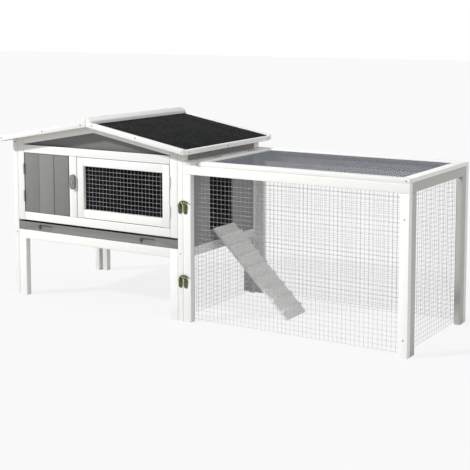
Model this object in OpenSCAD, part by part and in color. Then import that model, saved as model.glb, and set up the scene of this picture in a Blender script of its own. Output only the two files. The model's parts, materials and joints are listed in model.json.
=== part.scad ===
// Raised wooden rabbit hutch with a wire run beside it.
// Built from painted sticks, tongue-and-groove boards and welded wire nets, all in millimetres.
// Inside the modules x runs from the hutch's left face, y back from its front face and z up from
// the ground. in_row_frame() then moves the origin to the middle of the footprint.

/* [Hutch] */
// Width over the two side panels
hutch_w = 980; // [860:10:1200]
// Depth from front face to back face, of hutch and run
hutch_d = 633; // [560:1:760]
// Height of the legs up to the rail under the tray
leg_h = 275; // [200:5:340]
// Height of the rail under the tray
low_rail_h = 41; // [30:1:50]
// Height of the slot that the tray slides in
tray_slot_h = 49; // [44:1:70]
// Height of the rail under the doors
sill_h = 39; // [30:1:50]
// Height of the two door openings
door_h = 282; // [250:2:330]
// Height of the rail over the doors
head_h = 38; // [30:1:50]
// Height of the side panels above the rail over the doors
plate_rise = 24; // [18:1:34]

/* [Timber] */
// Thickness of every framed panel
frame_t = 28; // [24:1:32]
// Width of the front and back stiles
stile_w = 40; // [32:1:46]
// Width of the stiles of the side panels
side_stile_w = 42; // [34:1:50]
// Width of the front legs
leg_w = 43; // [34:1:50]
// Width of the mullion between the doors
mullion_w = 44; // [40:1:56]
// Thickness of the tongue-and-groove boards in the walls
board_t = 12; // [9:1:15]
// Face width of one board
board_pitch = 92; // [70:1:110]
// Depth of the V groove between two boards
groove = 3; // [1:0.5:4]
// How far the wall boards lie behind the face of their frame
board_recess = 5; // [2:1:8]
// Small bevel on the long edges of the sticks
edge_ease = 1.5; // [0.5:0.5:3]

/* [Doors] */
// Width of the opening for the solid door
grey_door_w = 275.7; // [230:0.1:300]
// Thickness of the solid door's boards
door_board_t = 10; // [8:1:12]
// Width of the two battens behind the solid door
batten_w = 40; // [30:1:50]
// Distance of a batten from the door's end
batten_inset = 45; // [30:1:60]
// Thickness of the net door's frame
net_door_t = 18; // [16:1:20]
// Width of the net door's members
net_door_member = 38.5; // [34:0.5:50]
// Gap round a door, away from its hinges
door_gap = 2; // [1.5:0.5:4]
// Height and depth of the stop beads behind the doors
stop_bead = 9.5; // [6:0.5:9.5]
// Length of the turn button
button_len = 69; // [60:1:76]
// Width of the turn button
button_w = 26; // [20:1:28]
// Thickness of the turn button
button_t = 13; // [8:1:16]
// Distance of the button's pivot from the net door's opening
button_set = 17.5; // [15:0.5:20]
// Height of the button's pivot above the sill rail
button_rise = 165; // [80:5:200]
// Radius of the button's screw
button_screw_r = 2.5; // [2:0.25:3]

/* [Tray] */
// Height of the tray's front board
tray_front_h = 38; // [32:1:40]
// Thickness of the tray's front board
tray_front_t = 15; // [12:1:18]
// How far the tray's front lies behind the face of the hutch
tray_recess = 4; // [0:1:8]
// Side gap between the tray and each side panel
tray_side_gap = 2.5; // [1.5:0.5:5]
// Height of the steel pan
pan_h = 34; // [25:1:36]
// Sheet thickness of the pan
pan_t = 1.2; // [0.8:0.1:2]
// Length of a finger slot in the tray's front
slot_len = 90; // [70:5:110]
// Height of a finger slot
slot_h = 25; // [18:1:25]
// Depth of a finger slot, cut into the board from its face
slot_depth = 9; // [6:0.5:10]
// Distance of each finger slot from the middle
slot_off = 297; // [200:1:340]
// Width of the runners and slats that carry the tray
slat_w = 40; // [30:1:60]
// Thickness of the slats that carry the tray
slat_t = 12; // [9:1:18]

/* [Roof] */
// Slope of the roof in degrees
pitch = 10; // [8:0.5:12]
// Overhang of the eaves beyond the side panels
eave_over = 38; // [34:1:41]
// Overhang of the roof beyond the front and back faces
verge_over = 52; // [30:1:70]
// Height of the white boards along the front and back of the roof
rake_h = 23; // [20:1:32]
// Width of these boards
rake_w = 17; // [12:1:32]
// How far these boards hang below the deck
rake_drop = 3; // [0:0.5:6]
// Height of the white boards along the eaves
fascia_h = 20; // [14:1:26]
// Width of the boards along the eaves
fascia_w = 12; // [8:1:18]
// How far the boards along the eaves hang below the deck
fascia_drop = 6; // [0:0.5:8]
// Thickness of the roof deck
deck_t = 12.7; // [8:0.1:13]
// Thickness of the mineral felt
felt_t = 2; // [1:0.5:4]
// Width of a ridge board
ridge_w = 30; // [26:1:60]
// How far the ridge boards stand above the front and back boards
ridge_rise = 18; // [16:1:22]
// Fall of a ridge board's top towards its outer edge
ridge_fall = 10; // [0:1:14]
// Distance of each ridge hinge from the ends of the ridge boards
ridge_hinge_inset = 98; // [40:1:180]
// Height of the rafter strips under the roof
rafter_h = 34; // [24:1:44]
// Thickness of the rafter strips
rafter_t = 12; // [8:1:16]
// Thickness of the gable boards
gable_t = 10; // [8:1:12]

/* [Inside] */
// Thickness of the partition between the two rooms
partition_t = 12; // [9:1:18]
// Width of the doorways
doorway_w = 190; // [150:5:220]
// Height of the doorways
doorway_h = 250; // [200:5:280]
// Distance of the partition's doorway from the back frame
inner_doorway_set = 45; // [30:5:120]
// Height of the side doorway's sill above the tray slot
doorway_rise = 1; // [0:1:20]

/* [Run] */
// Length of the run
run_len = 1056; // [900:4:1300]
// Width of the run's posts
post_w = 40; // [32:1:46]
// Height of the side panels above the run's top rails
run_drop = 60; // [44:1:140]
// Height of the run's top rails
run_rail_h = 39.5; // [30:0.5:50]
// Thickness of the lid
lid_t = 17; // [17:0.5:20]
// Width of the lid's members
lid_member = 45; // [35:1:55]
// Width of the fixed rail that carries the lid's hinges
fixed_rail_w = 45.5; // [44:0.5:60]
// Distance of the net below the lid's face
lid_net_drop = 8; // [4:1:12]
// Distance of the front lid hinge from the front face
lid_hinge_front = 184; // [60:1:220]
// Distance of the back lid hinge from the back face
lid_hinge_back = 120; // [60:1:220]
// Gap between the nets' lower edge and the ground
net_ground = 12; // [6:1:40]

/* [Ramp] */
// Angle between the ramp and the wall
ramp_angle = 46; // [40:1:60]
// Width of the ramp
ramp_w = 170; // [130:5:190]
// Thickness of the ramp's board
ramp_t = 12; // [9:1:18]
// Height of the cleats on the ramp
cleat_h = 7; // [5:1:12]
// Width of the cleats
cleat_w = 14; // [8:1:20]
// Distance from one cleat to the next
cleat_pitch = 62; // [40:1:90]

/* [Nets] */
// Mesh of the small nets
fine_mesh = 20; // [18:1:30]
// Mesh of the run's nets, drawn wider than the wire's own
wide_mesh = 52; // [48:1:80]
// Width of a bar in the small nets
fine_bar = 1.4; // [1:0.1:2]
// Width of a bar in the run's nets
wide_bar = 2; // [1:0.1:3]
// Thickness of the nets
net_t = 1.2; // [0.8:0.1:2]

/* [Hinges and latches] */
// Length of a butt hinge
hinge_len = 50; // [40:2:60]
// Distance of a door hinge from the end of the opening
hinge_inset = 51; // [30:1:70]
// Outer radius of a hinge knuckle
knuckle_r = 3.2; // [2.8:0.1:3.6]
// Radius of a hinge pin
pin_r = 1.5; // [1.2:0.1:1.6]
// Thickness of a hinge leaf
leaf_t = 0.9; // [0.6:0.1:1.2]
// Depth of a hinge leaf into the joint
leaf_d = 12; // [8:1:14]
// Height of the upper latches
latch_high = 498; // [430:2:540]
// Height of the lower latches
latch_low = 172; // [120:2:240]
// Width of a latch plate
plate_w = 20; // [18:1:24]
// Height of a latch plate
plate_h = 46; // [42:1:60]
// Thickness of a latch plate
plate_t = 2; // [1.5:0.5:3]
// Distance of the keeper's plate from the joint between hutch and run
keeper_set = 3; // [2:0.5:6]
// Thickness of a latch lever
lever_t = 3; // [2:0.5:4]
// Outer radius of the lever's arch
arch_r = 27; // [26:1:32]
// Width of the lever's arm
arm_w = 6; // [5:0.5:7]
// Radius of the keeper's peg
peg_r = 3; // [2:0.5:4]

/* [Fits] */
// Gap between two seated pieces
seat = 0.3; // [0.2:0.05:0.5]
// Radial clearance of a pin in its bore
running = 0.05; // [0.02:0.01:0.1]

/* [Hidden] */
$fn = 48;

WHITE = [0.93, 0.93, 0.92];
GREY = [0.53, 0.53, 0.525];
FELT = [0.17, 0.17, 0.18];
ZINC = [0.62, 0.63, 0.64];
WIRE = [0.6, 0.62, 0.64];
BRASS = [0.62, 0.56, 0.27];

// Heights of the front, from the ground up
tray_z = leg_h + low_rail_h;
sill_z = tray_z + tray_slot_h;
door_z = sill_z + sill_h;
head_z = door_z + door_h;
front_top_z = head_z + head_h;
plate_z = front_top_z + plate_rise;

// Places across the front
inner_l = frame_t;
inner_r = hutch_w - frame_t;
grey_x0 = inner_l + seat + stile_w;
grey_x1 = grey_x0 + grey_door_w;
net_x0 = grey_x1 + mullion_w;
net_x1 = inner_r - seat - stile_w;
middle_x = hutch_w / 2;
button_x = net_x0 - button_set;
button_z = door_z + button_rise;

// Hinge geometry: the pin stands off the face by pin_off, and the joint is hinge_gap wide
leaf_play = 0.2;
hinge_gap = 2 * leaf_t + 3 * leaf_play;
pin_off = knuckle_r + 0.4;
door_hinge_zs = [door_z + hinge_inset, head_z - hinge_inset - hinge_len];
lid_hinge_ys = [lid_hinge_front, hutch_d - lid_hinge_back - hinge_len];

// Run
run_x0 = hutch_w + seat;
run_x1 = hutch_w + run_len;
run_h = plate_z - run_drop;
lid_top_z = run_h + seat + lid_t;
lid_x0 = run_x0 + fixed_rail_w + hinge_gap;

// Side doorway and ramp
doorway_z = sill_z + doorway_rise;
doorway_y0 = (hutch_d - doorway_w) / 2;
doorway_y1 = doorway_y0 + doorway_w;
right_board_x = hutch_w - board_recess;
ramp_pin_x = right_board_x + hinge_gap / 2;
ramp_pin_z = doorway_z + pin_off;
ramp_foot_gap = 1;
ramp_len = (ramp_pin_z + hinge_gap / 2 * sin(ramp_angle) - ramp_foot_gap) / cos(ramp_angle) - pin_off;
ramp_y0 = (hutch_d - ramp_w) / 2;
ramp_hinge_ys = [ramp_y0 + 12, ramp_y0 + ramp_w - 12 - hinge_len];

// Latches: the lever turns on the hutch's plate and hooks over the run's peg
latch_plate_x = hutch_w - frame_t / 2;
latch_keeper_x = run_x0 + keeper_set + plate_w / 2;
latch_reach = latch_keeper_x - latch_plate_x;
pivot_r = 2.5;
pivot_up = 10;
boss_r = 6;
boss_t = 2.4;
latch_zs = [latch_high, latch_low];

// Roof: underside of the deck above a place across the hutch
function under(x) = plate_z + seat + (middle_x - abs(x - middle_x)) * tan(pitch);
eave_x = hutch_w + eave_over;
verge_y0 = -verge_over;
verge_y1 = hutch_d + verge_over;

// The roof is framed by boards that hang a little below the deck, and the ridge boards reach
// over the front and back ones, with their hinges let into the joint
roof_in_y0 = verge_y0 + rake_w + seat;
roof_in_y1 = verge_y1 - rake_w - seat;
ridge_x0 = middle_x + hinge_gap / 2;
ridge_x1 = middle_x + ridge_w;
fascia_x0 = eave_x - fascia_w;
rake_top = rake_h - rake_drop;
ridge_top = rake_top + ridge_rise;
ridge_pin_z = under(middle_x) + ridge_top - knuckle_r - seat;
ridge_bevel = knuckle_r + 1;
ridge_hinge_ys = [roof_in_y0 + ridge_hinge_inset, roof_in_y1 - ridge_hinge_inset - hinge_len];

// Moves the hutch's own corner frame to the middle of the footprint
module in_row_frame() {
    translate([-(run_x1 - eave_over) / 2, -hutch_d / 2, 0]) children();
}

// Section of a planed stick with its four corners eased
module eased_section(w, h) {
    c = edge_ease;
    polygon([[c, 0], [w - c, 0], [w, c], [w, h - c], [w - c, h], [c, h], [0, h - c], [0, c]]);
}

// Planed stick between two opposite corners, with its grain along "x", "y" or "z"
module stick(low, high, grain) {
    size = high - low;
    translate(low) {
        if (grain == "x")
            rotate([90, 0, 90]) linear_extrude(size.x) eased_section(size.y, size.z);
        if (grain == "y")
            translate([0, size.y, 0]) rotate([90, 0, 0]) linear_extrude(size.y)
                eased_section(size.x, size.z);
        if (grain == "z")
            linear_extrude(size.z) eased_section(size.x, size.y);
    }
}

// Upright stick from z0 up to the sloping underside of the roof
module stile_to_roof(x0, x1, y0, z0) {
    intersection() {
        stick([x0, y0, z0], [x1, y0 + frame_t, under(middle_x)], "z");
        xz_prism([[x0, z0], [x1, z0], [x1, under(x1) - seat], [x0, under(x0) - seat]],
            y0, y0 + frame_t);
    }
}

// Outline in x and z, extruded from y0 to y1
module xz_prism(points, y0, y1) {
    translate([0, y1, 0]) rotate([90, 0, 0]) linear_extrude(y1 - y0) polygon(points);
}

// Row of tongue-and-groove boards along +x with their grooved face towards -y
module board_row(length, height, thick) {
    count = max(1, round(length / board_pitch));
    w = (length - (count - 1) * seat) / count;
    v = min(groove, thick / 2);
    for (i = [0 : count - 1])
        translate([i * (w + seat), 0, 0]) linear_extrude(height)
            polygon([[0, v], [v, 0], [w - v, 0], [w, v], [w, thick], [0, thick]]);
}

// Welded net as a sheet with square gaps
module net_sheet(w, h, mesh, bar) {
    columns = max(1, round(w / mesh));
    rows = max(1, round(h / mesh));
    hole_w = (w - (columns + 1) * bar) / columns;
    hole_h = (h - (rows + 1) * bar) / rows;
    difference() {
        square([w, h]);
        for (i = [0 : columns - 1], j = [0 : rows - 1])
            translate([bar + i * (hole_w + bar), bar + j * (hole_h + bar)])
                square([hole_w, hole_h]);
    }
}

module net_xz(x0, x1, y, z0, z1, mesh, bar) {
    translate([x0, y + net_t, z0]) rotate([90, 0, 0]) linear_extrude(net_t)
        net_sheet(x1 - x0, z1 - z0, mesh, bar);
}

module net_yz(x, y0, y1, z0, z1, mesh, bar) {
    translate([x, y0, z0]) rotate([90, 0, 90]) linear_extrude(net_t)
        net_sheet(y1 - y0, z1 - z0, mesh, bar);
}

// Half of a butt hinge. The pin lies on local z and the leaves hang in the joint along +y,
// the fixed one on the -x side and the moving one on the +x side.
module hinge_half(fixed) {
    third = hinge_len / 3;
    spans = fixed ? [[0, third - seat / 2], [2 * third + seat / 2, hinge_len]]
                  : [[third + seat / 2, 2 * third - seat / 2]];
    leaf_x = fixed ? -leaf_play / 2 - leaf_t : leaf_play / 2;
    tab_y = pin_r + 0.3;
    translate([leaf_x, knuckle_r + seat, 0]) cube([leaf_t, leaf_d, hinge_len]);
    for (span = spans) {
        translate([leaf_x, tab_y, span[0]])
            cube([leaf_t, knuckle_r + 2 * seat - tab_y, span[1] - span[0]]);
        translate([0, 0, span[0]]) difference() {
            cylinder(r = knuckle_r, h = span[1] - span[0]);
            translate([0, 0, -1]) cylinder(r = pin_r + running, h = span[1] - span[0] + 2);
        }
    }
}

module hinge_pin() {
    translate([0, 0, -1]) cylinder(r = pin_r, h = hinge_len + 2);
}

// Places of the five kinds of hinge
module at_ridge_hinges() {
    for (y = ridge_hinge_ys)
        translate([middle_x, y, ridge_pin_z]) mirror([1, 0, 0]) rotate([-90, 0, 0]) children();
}

module at_grey_door_hinges() {
    for (z = door_hinge_zs) translate([grey_x0 + hinge_gap / 2, -pin_off, z]) children();
}

module at_net_door_hinges() {
    for (z = door_hinge_zs)
        translate([net_x1 - hinge_gap / 2, -pin_off, z]) mirror([1, 0, 0]) children();
}

module at_lid_hinges() {
    for (y = lid_hinge_ys)
        translate([lid_x0 - hinge_gap / 2, y, lid_top_z + pin_off]) rotate([-90, 0, 0]) children();
}

module at_ramp_hinges(turn) {
    for (y = ramp_hinge_ys)
        translate([ramp_pin_x, y, ramp_pin_z]) rotate([0, -turn, 0]) rotate([-90, 0, 0]) children();
}

// Side panel: two stiles from the ground to the roof and a rail at tray height
module side_frame(x0) {
    for (y = [0, hutch_d - side_stile_w])
        stick([x0, y, 0], [x0 + frame_t, y + side_stile_w, plate_z], "z");
    stick([x0, side_stile_w + seat, leg_h], [x0 + frame_t, hutch_d - side_stile_w - seat, tray_z], "y");
}

module left_side_frame() {
    color(WHITE) in_row_frame() side_frame(0);
}

module right_side_frame() {
    color(WHITE) in_row_frame() side_frame(inner_r);
}

side_board_y0 = side_stile_w + seat;
side_board_y1 = hutch_d - side_stile_w - seat;
side_board_z0 = tray_z + seat;
side_board_h = plate_z - side_board_z0;

module left_side_boards() {
    color(GREY) in_row_frame()
        translate([board_recess, side_board_y1, side_board_z0]) rotate([0, 0, -90])
            board_row(side_board_y1 - side_board_y0, side_board_h, board_t);
}

// The right wall has the doorway into the run, with short boards below and above it
module right_side_boards() {
    color(GREY) in_row_frame() {
        for (span = [[side_board_y0, doorway_y0], [doorway_y1, side_board_y1]])
            translate([right_board_x, span[0], side_board_z0]) rotate([0, 0, 90])
                board_row(span[1] - span[0], side_board_h, board_t);
        for (part = [[side_board_z0, doorway_z], [doorway_z + doorway_h, plate_z]])
            translate([right_board_x, doorway_y0 + seat, part[0]]) rotate([0, 0, 90])
                board_row(doorway_w - 2 * seat, part[1] - part[0], board_t);
    }
}

// Net that closes the run below the hutch's floor
module right_side_lower_net() {
    color(WIRE) in_row_frame()
        net_yz(right_board_x - board_t, side_board_y0, side_board_y1, net_ground, leg_h - seat,
            fine_mesh + 5, fine_bar);
}

// Frame of the front with the two door openings, above the tray
module front_upper_frame() {
    color(WHITE) in_row_frame() {
        stile_to_roof(inner_l + seat, grey_x0, 0, sill_z);
        stile_to_roof(net_x1, inner_r - seat, 0, sill_z);
        stick([grey_x0 + seat, 0, sill_z], [net_x1 - seat, frame_t, door_z], "x");
        stick([grey_x0 + seat, 0, head_z], [net_x1 - seat, frame_t, front_top_z], "x");
        difference() {
            stick([grey_x1, 0, door_z + seat], [net_x0, frame_t, head_z - seat], "z");
            translate([button_x, button_bore_d, button_z]) rotate([90, 0, 0])
                cylinder(r = button_screw_r + running, h = button_bore_d + 1);
        }
    }
}

// Legs and rail below the tray
module front_lower_frame() {
    color(WHITE) in_row_frame() {
        stick([inner_l + seat, 0, 0], [inner_l + seat + leg_w, frame_t, tray_z], "z");
        stick([inner_r - seat - leg_w, 0, 0], [inner_r - seat, frame_t, tray_z], "z");
        stick([inner_l + 2 * seat + leg_w, 0, leg_h],
            [inner_r - 2 * seat - leg_w, frame_t, tray_z], "x");
    }
}

back_y0 = hutch_d - frame_t;

module back_frame() {
    color(WHITE) in_row_frame() {
        for (x = [inner_l + seat, inner_r - seat - stile_w])
            stile_to_roof(x, x + stile_w, back_y0, 0);
        stick([grey_x0 + seat, back_y0, head_z], [net_x1 - seat, hutch_d, front_top_z], "x");
        stick([grey_x0 + seat, back_y0, leg_h], [net_x1 - seat, hutch_d, tray_z], "x");
    }
}

module back_boards() {
    color(GREY) in_row_frame()
        translate([net_x1 - seat, hutch_d - board_recess, tray_z + seat]) rotate([0, 0, 180])
            board_row(net_x1 - grey_x0 - 2 * seat, head_z - tray_z - 2 * seat, board_t);
}

// Grey triangles that close the gables, between the stiles and behind the rafter strips
module gable_boards() {
    x0 = grey_x0 + seat;
    x1 = net_x1 - seat;
    outline = [[x0, front_top_z + seat], [x1, front_top_z + seat], [x1, under(x1) - seat],
        [middle_x, under(middle_x) - seat], [x0, under(x0) - seat]];
    color(GREY) in_row_frame() {
        xz_prism(outline, rafter_t + seat, rafter_t + seat + gable_t);
        xz_prism(outline, hutch_d - rafter_t - seat - gable_t, hutch_d - rafter_t - seat);
    }
}

// Slab between two places across the roof, from low to high above the deck's underside
function slope_outline(x0, x1, low, high) =
    [[x0, under(x0) + low], [x1, under(x1) + low], [x1, under(x1) + high], [x0, under(x0) + high]];

// Left rafter strip: it follows the roof from the stile to the ridge, above the head rail
module rafter_shape() {
    x0 = grey_x0 + seat;
    x1 = middle_x - seat / 2;
    intersection() {
        polygon(slope_outline(x0, x1, -seat - rafter_h, -seat));
        translate([x0, front_top_z + seat]) square([x1 - x0, hutch_w]);
    }
}

module rafters(y0, y1) {
    translate([0, y1, 0]) rotate([90, 0, 0]) linear_extrude(y1 - y0) {
        rafter_shape();
        translate([hutch_w, 0]) mirror([1, 0]) rafter_shape();
    }
}

module front_rafters() {
    color(WHITE) in_row_frame() rafters(0, rafter_t);
}

module back_rafters() {
    color(WHITE) in_row_frame() rafters(hutch_d - rafter_t, hutch_d);
}

// Beads that stop the doors, above and below each opening
module door_stops() {
    color(WHITE) in_row_frame()
        for (span = [[grey_x0, grey_x1, door_board_t + seat], [net_x0, net_x1, net_door_t + seat]],
                z = [door_z + seat, head_z - seat - stop_bead])
            stick([span[0] + seat, span[2], z],
                [span[1] - seat, span[2] + stop_bead, z + stop_bead], "x");
}

// Wall between the nest room and the day room, with its doorway near the back
module partition() {
    x0 = (grey_x1 + net_x0 - partition_t) / 2;
    x1 = x0 + partition_t;
    y0 = frame_t + seat;
    y1 = back_y0 - seat;
    gap_y1 = y1 - inner_doorway_set;
    gap_y0 = gap_y1 - doorway_w;
    z0 = sill_z;
    z1 = front_top_z;
    color(GREY) in_row_frame() {
        stick([x0, y0, z0], [x1, gap_y0, z1], "z");
        stick([x0, gap_y1, z0], [x1, y1, z1], "z");
        stick([x0, gap_y0 + seat, z0 + doorway_h], [x1, gap_y1 - seat, z1], "y");
    }
}

// Runners at the sides and three slats between them carry the tray
module tray_bearers() {
    y0 = frame_t + seat;
    y1 = back_y0 - seat;
    room = inner_r - inner_l;
    color(WHITE) in_row_frame() {
        for (x = [inner_l + seat, inner_r - seat - slat_w / 2])
            stick([x, y0, tray_z - 2 * slat_t], [x + slat_w / 2, y1, tray_z], "y");
        for (i = [1 : 3])
            stick([inner_l + i * room / 4 - slat_w / 2, y0, tray_z - slat_t],
                [inner_l + i * room / 4 + slat_w / 2, y1, tray_z], "y");
    }
}

// Right half of the roof; mirrored for the left half
module roof_half(side) {
    if (side == "right") children();
    else translate([hutch_w, 0, 0]) mirror([1, 0, 0]) children();
}

module roof_frame(side) {
    color(WHITE) in_row_frame() roof_half(side) {
        for (y = [verge_y0, verge_y1 - rake_w])
            xz_prism(slope_outline(ridge_x0, eave_x, -rake_drop, rake_top), y, y + rake_w);
        xz_prism(slope_outline(fascia_x0, eave_x, -fascia_drop, fascia_h - fascia_drop),
            roof_in_y0, roof_in_y1);
    }
}

module roof_deck(side) {
    color(WHITE) in_row_frame() roof_half(side)
        xz_prism(slope_outline(ridge_x1 + seat, fascia_x0 - seat, 0, deck_t),
            roof_in_y0, roof_in_y1);
}

module roof_felt(side) {
    color(FELT) in_row_frame() roof_half(side)
        xz_prism(slope_outline(ridge_x1 + seat, fascia_x0 - seat, deck_t + seat,
            deck_t + seat + felt_t), roof_in_y0, roof_in_y1);
}

// Section of a ridge board above a given height over the deck's underside
function ridge_outline(bottom) = let (bevel_x = ridge_x0 + ridge_bevel) [
    [ridge_x0, under(ridge_x0) + bottom], [ridge_x1, under(ridge_x1) + bottom],
    [ridge_x1, under(ridge_x1) + ridge_top - ridge_fall],
    [bevel_x, under(bevel_x) + ridge_top],
    [ridge_x0, under(ridge_x0) + ridge_top - ridge_bevel]];

// Ridge board with the upper edge of its joint bevelled, and round notches for the knuckles.
// Its ends are thinner, where it lies on the front and back boards.
module ridge_board(side) {
    color(WHITE) in_row_frame() roof_half(side) difference() {
        union() {
            xz_prism(ridge_outline(0), roof_in_y0, roof_in_y1);
            xz_prism(ridge_outline(rake_top + seat), verge_y0, verge_y1);
        }
        for (y = ridge_hinge_ys)
            translate([middle_x, y + hinge_len + seat, ridge_pin_z]) rotate([90, 0, 0])
                cylinder(r = knuckle_r + 0.5, h = hinge_len + 2 * seat);
    }
}

module roof_left_frame() { roof_frame("left"); }
module roof_left_deck() { roof_deck("left"); }
module roof_left_felt() { roof_felt("left"); }
module ridge_board_left() { ridge_board("left"); }
module roof_right_frame() { roof_frame("right"); }
module roof_right_deck() { roof_deck("right"); }
module roof_right_felt() { roof_felt("right"); }
module ridge_board_right() { ridge_board("right"); }

// Panel of the run along x: a post at each end under one long rail
module run_panel(y0) {
    y1 = y0 + frame_t;
    stick([run_x0, y0, 0], [run_x0 + post_w, y1, run_h - run_rail_h - seat], "z");
    stick([run_x1 - post_w, y0, 0], [run_x1, y1, run_h - run_rail_h - seat], "z");
    stick([run_x0, y0, run_h - run_rail_h], [run_x1, y1, run_h], "x");
}

module run_panel_net(y) {
    net_xz(run_x0 + post_w + seat, run_x1 - post_w - seat, y,
        net_ground, run_h - run_rail_h - seat, wide_mesh, wide_bar);
}

module run_front_frame() { color(WHITE) in_row_frame() run_panel(0); }
module run_back_frame() { color(WHITE) in_row_frame() run_panel(back_y0); }
module run_front_net() { color(WIRE) in_row_frame() run_panel_net(frame_t - 2 * net_t); }
module run_back_net() { color(WIRE) in_row_frame() run_panel_net(back_y0 + net_t); }

end_x0 = run_x1 - frame_t;
end_y0 = frame_t + seat;
end_y1 = back_y0 - seat;

module run_end_frame() {
    color(WHITE) in_row_frame() {
        for (y = [end_y0, end_y1 - side_stile_w])
            stick([end_x0, y, 0], [run_x1, y + side_stile_w, run_h - run_rail_h - seat], "z");
        stick([end_x0, end_y0, run_h - run_rail_h], [run_x1, end_y1, run_h], "y");
    }
}

module run_end_net() {
    color(WIRE) in_row_frame()
        net_yz(end_x0 + net_t, end_y0 + side_stile_w + seat, end_y1 - side_stile_w - seat,
            net_ground, run_h - run_rail_h - seat, wide_mesh, wide_bar);
}

module lid_fixed_rail() {
    color(WHITE) in_row_frame()
        stick([run_x0, 0, run_h + seat], [run_x0 + fixed_rail_w, hutch_d, lid_top_z], "y");
}

// Front and back members run the whole length, and the end members lie between them
module lid_frame() {
    z0 = run_h + seat;
    color(WHITE) in_row_frame() {
        for (y = [0, hutch_d - lid_member])
            stick([lid_x0, y, z0], [run_x1, y + lid_member, lid_top_z], "x");
        for (x = [lid_x0, run_x1 - lid_member])
            stick([x, lid_member + seat, z0],
                [x + lid_member, hutch_d - lid_member - seat, lid_top_z], "y");
    }
}

module lid_net() {
    w = run_x1 - lid_x0 - 2 * (lid_member + seat);
    d = hutch_d - 2 * (lid_member + seat);
    color(WIRE) in_row_frame()
        translate([lid_x0 + lid_member + seat, lid_member + seat, lid_top_z - lid_net_drop - net_t])
            linear_extrude(net_t) net_sheet(w, d, wide_mesh, wide_bar);
}

module grey_door_fixed_leaves() { color(ZINC) in_row_frame() at_grey_door_hinges() hinge_half(true); }
module net_door_fixed_leaves() { color(WHITE) in_row_frame() at_net_door_hinges() hinge_half(true); }
module lid_fixed_leaves() { color(ZINC) in_row_frame() at_lid_hinges() hinge_half(true); }
module ramp_fixed_leaves() { color(ZINC) in_row_frame() at_ramp_hinges(0) hinge_half(true); }
module roof_fixed_leaves() { color(ZINC) in_row_frame() at_ridge_hinges() hinge_half(true); }
module roof_leaves() { color(ZINC) in_row_frame() at_ridge_hinges() hinge_half(false); }

module hinge_pins() {
    color(ZINC) in_row_frame() {
        at_ridge_hinges() cylinder(r = pin_r, h = hinge_len);
        at_grey_door_hinges() hinge_pin();
        at_net_door_hinges() hinge_pin();
        at_lid_hinges() hinge_pin();
        at_ramp_hinges(0) hinge_pin();
    }
}

// Solid door of three boards on two battens
grey_door_x0 = grey_x0 + hinge_gap;
grey_door_x1 = grey_x1 - door_gap;
door_low_z = door_z + door_gap;
door_top_z = head_z - door_gap;

module grey_door_boards() {
    color(GREY) in_row_frame()
        translate([grey_door_x0, 0, door_low_z])
            board_row(grey_door_x1 - grey_door_x0, door_top_z - door_low_z, door_board_t);
}

module grey_door_battens() {
    y0 = door_board_t + seat;
    set_in = 14;
    color(GREY) in_row_frame()
        for (z = [door_low_z + batten_inset, door_top_z - batten_inset - batten_w])
            stick([grey_door_x0 + set_in, y0, z],
                [grey_door_x1 - set_in, y0 + board_t, z + batten_w], "x");
}

module grey_door_leaves() { color(ZINC) in_row_frame() at_grey_door_hinges() hinge_half(false); }

// Net door: two long rails with the uprights between them
net_door_x0 = net_x0 + door_gap;
net_door_x1 = net_x1 - hinge_gap;
window_x0 = net_door_x0 + net_door_member;
window_x1 = net_door_x1 - net_door_member;
window_z0 = door_low_z + net_door_member;
window_z1 = door_top_z - net_door_member;

module net_door_frame() {
    color(WHITE) in_row_frame() {
        for (x = [net_door_x0, window_x1])
            stick([x, 0, door_low_z], [x + net_door_member, net_door_t, door_top_z], "z");
        for (z = [door_low_z, window_z1])
            stick([window_x0 + seat, 0, z], [window_x1 - seat, net_door_t, z + net_door_member], "x");
    }
}

module net_door_net() {
    color(WIRE) in_row_frame()
        net_xz(window_x0 + seat, window_x1 - seat, net_door_t - 3 * net_t,
            window_z0 + seat, window_z1 - seat, fine_mesh, fine_bar);
}

module net_door_leaves() { color(WHITE) in_row_frame() at_net_door_hinges() hinge_half(false); }

// Turn button, stored upright and clear of both doors
module turn_button() {
    straight = button_len - button_w;
    color(GREY) in_row_frame()
        translate([button_x, -seat, button_z]) rotate([90, 0, 0]) linear_extrude(button_t)
            difference() {
                union() {
                    square([button_w, straight], center = true);
                    for (s = [-1, 1]) translate([0, s * straight / 2]) circle(d = button_w);
                }
                circle(r = button_screw_r + running);
            }
}

button_bore_d = 18;
button_head_r = 5;
button_head_t = 2.5;

module button_screw() {
    color(ZINC) in_row_frame()
        translate([button_x, button_bore_d - 1, button_z]) rotate([90, 0, 0]) {
            cylinder(r = button_screw_r, h = button_bore_d - 1 + button_t + 2 * seat + button_head_t);
            translate([0, 0, button_bore_d - 1 + button_t + 2 * seat])
                cylinder(r = button_head_r, h = button_head_t);
        }
}

// Tray: a grey front board with two finger slots cut into it, and a folded steel pan behind it
tray_x0 = inner_l + tray_side_gap;
tray_x1 = inner_r - tray_side_gap;
tray_z0 = tray_z + 2 * seat;

module finger_slot() {
    straight = slot_len - slot_h;
    union() {
        square([straight, slot_h], center = true);
        for (s = [-1, 1]) translate([s * straight / 2, 0]) circle(d = slot_h);
    }
}

module tray_front() {
    w = tray_x1 - tray_x0;
    color(GREY) in_row_frame()
        translate([tray_x0, tray_recess + tray_front_t, tray_z0]) rotate([90, 0, 0]) difference() {
            linear_extrude(tray_front_t) square([w, tray_front_h]);
            for (s = [-1, 1])
                translate([w / 2 + s * slot_off, tray_front_h / 2, tray_front_t - slot_depth])
                    linear_extrude(slot_depth + 1) finger_slot();
        }
}

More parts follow.
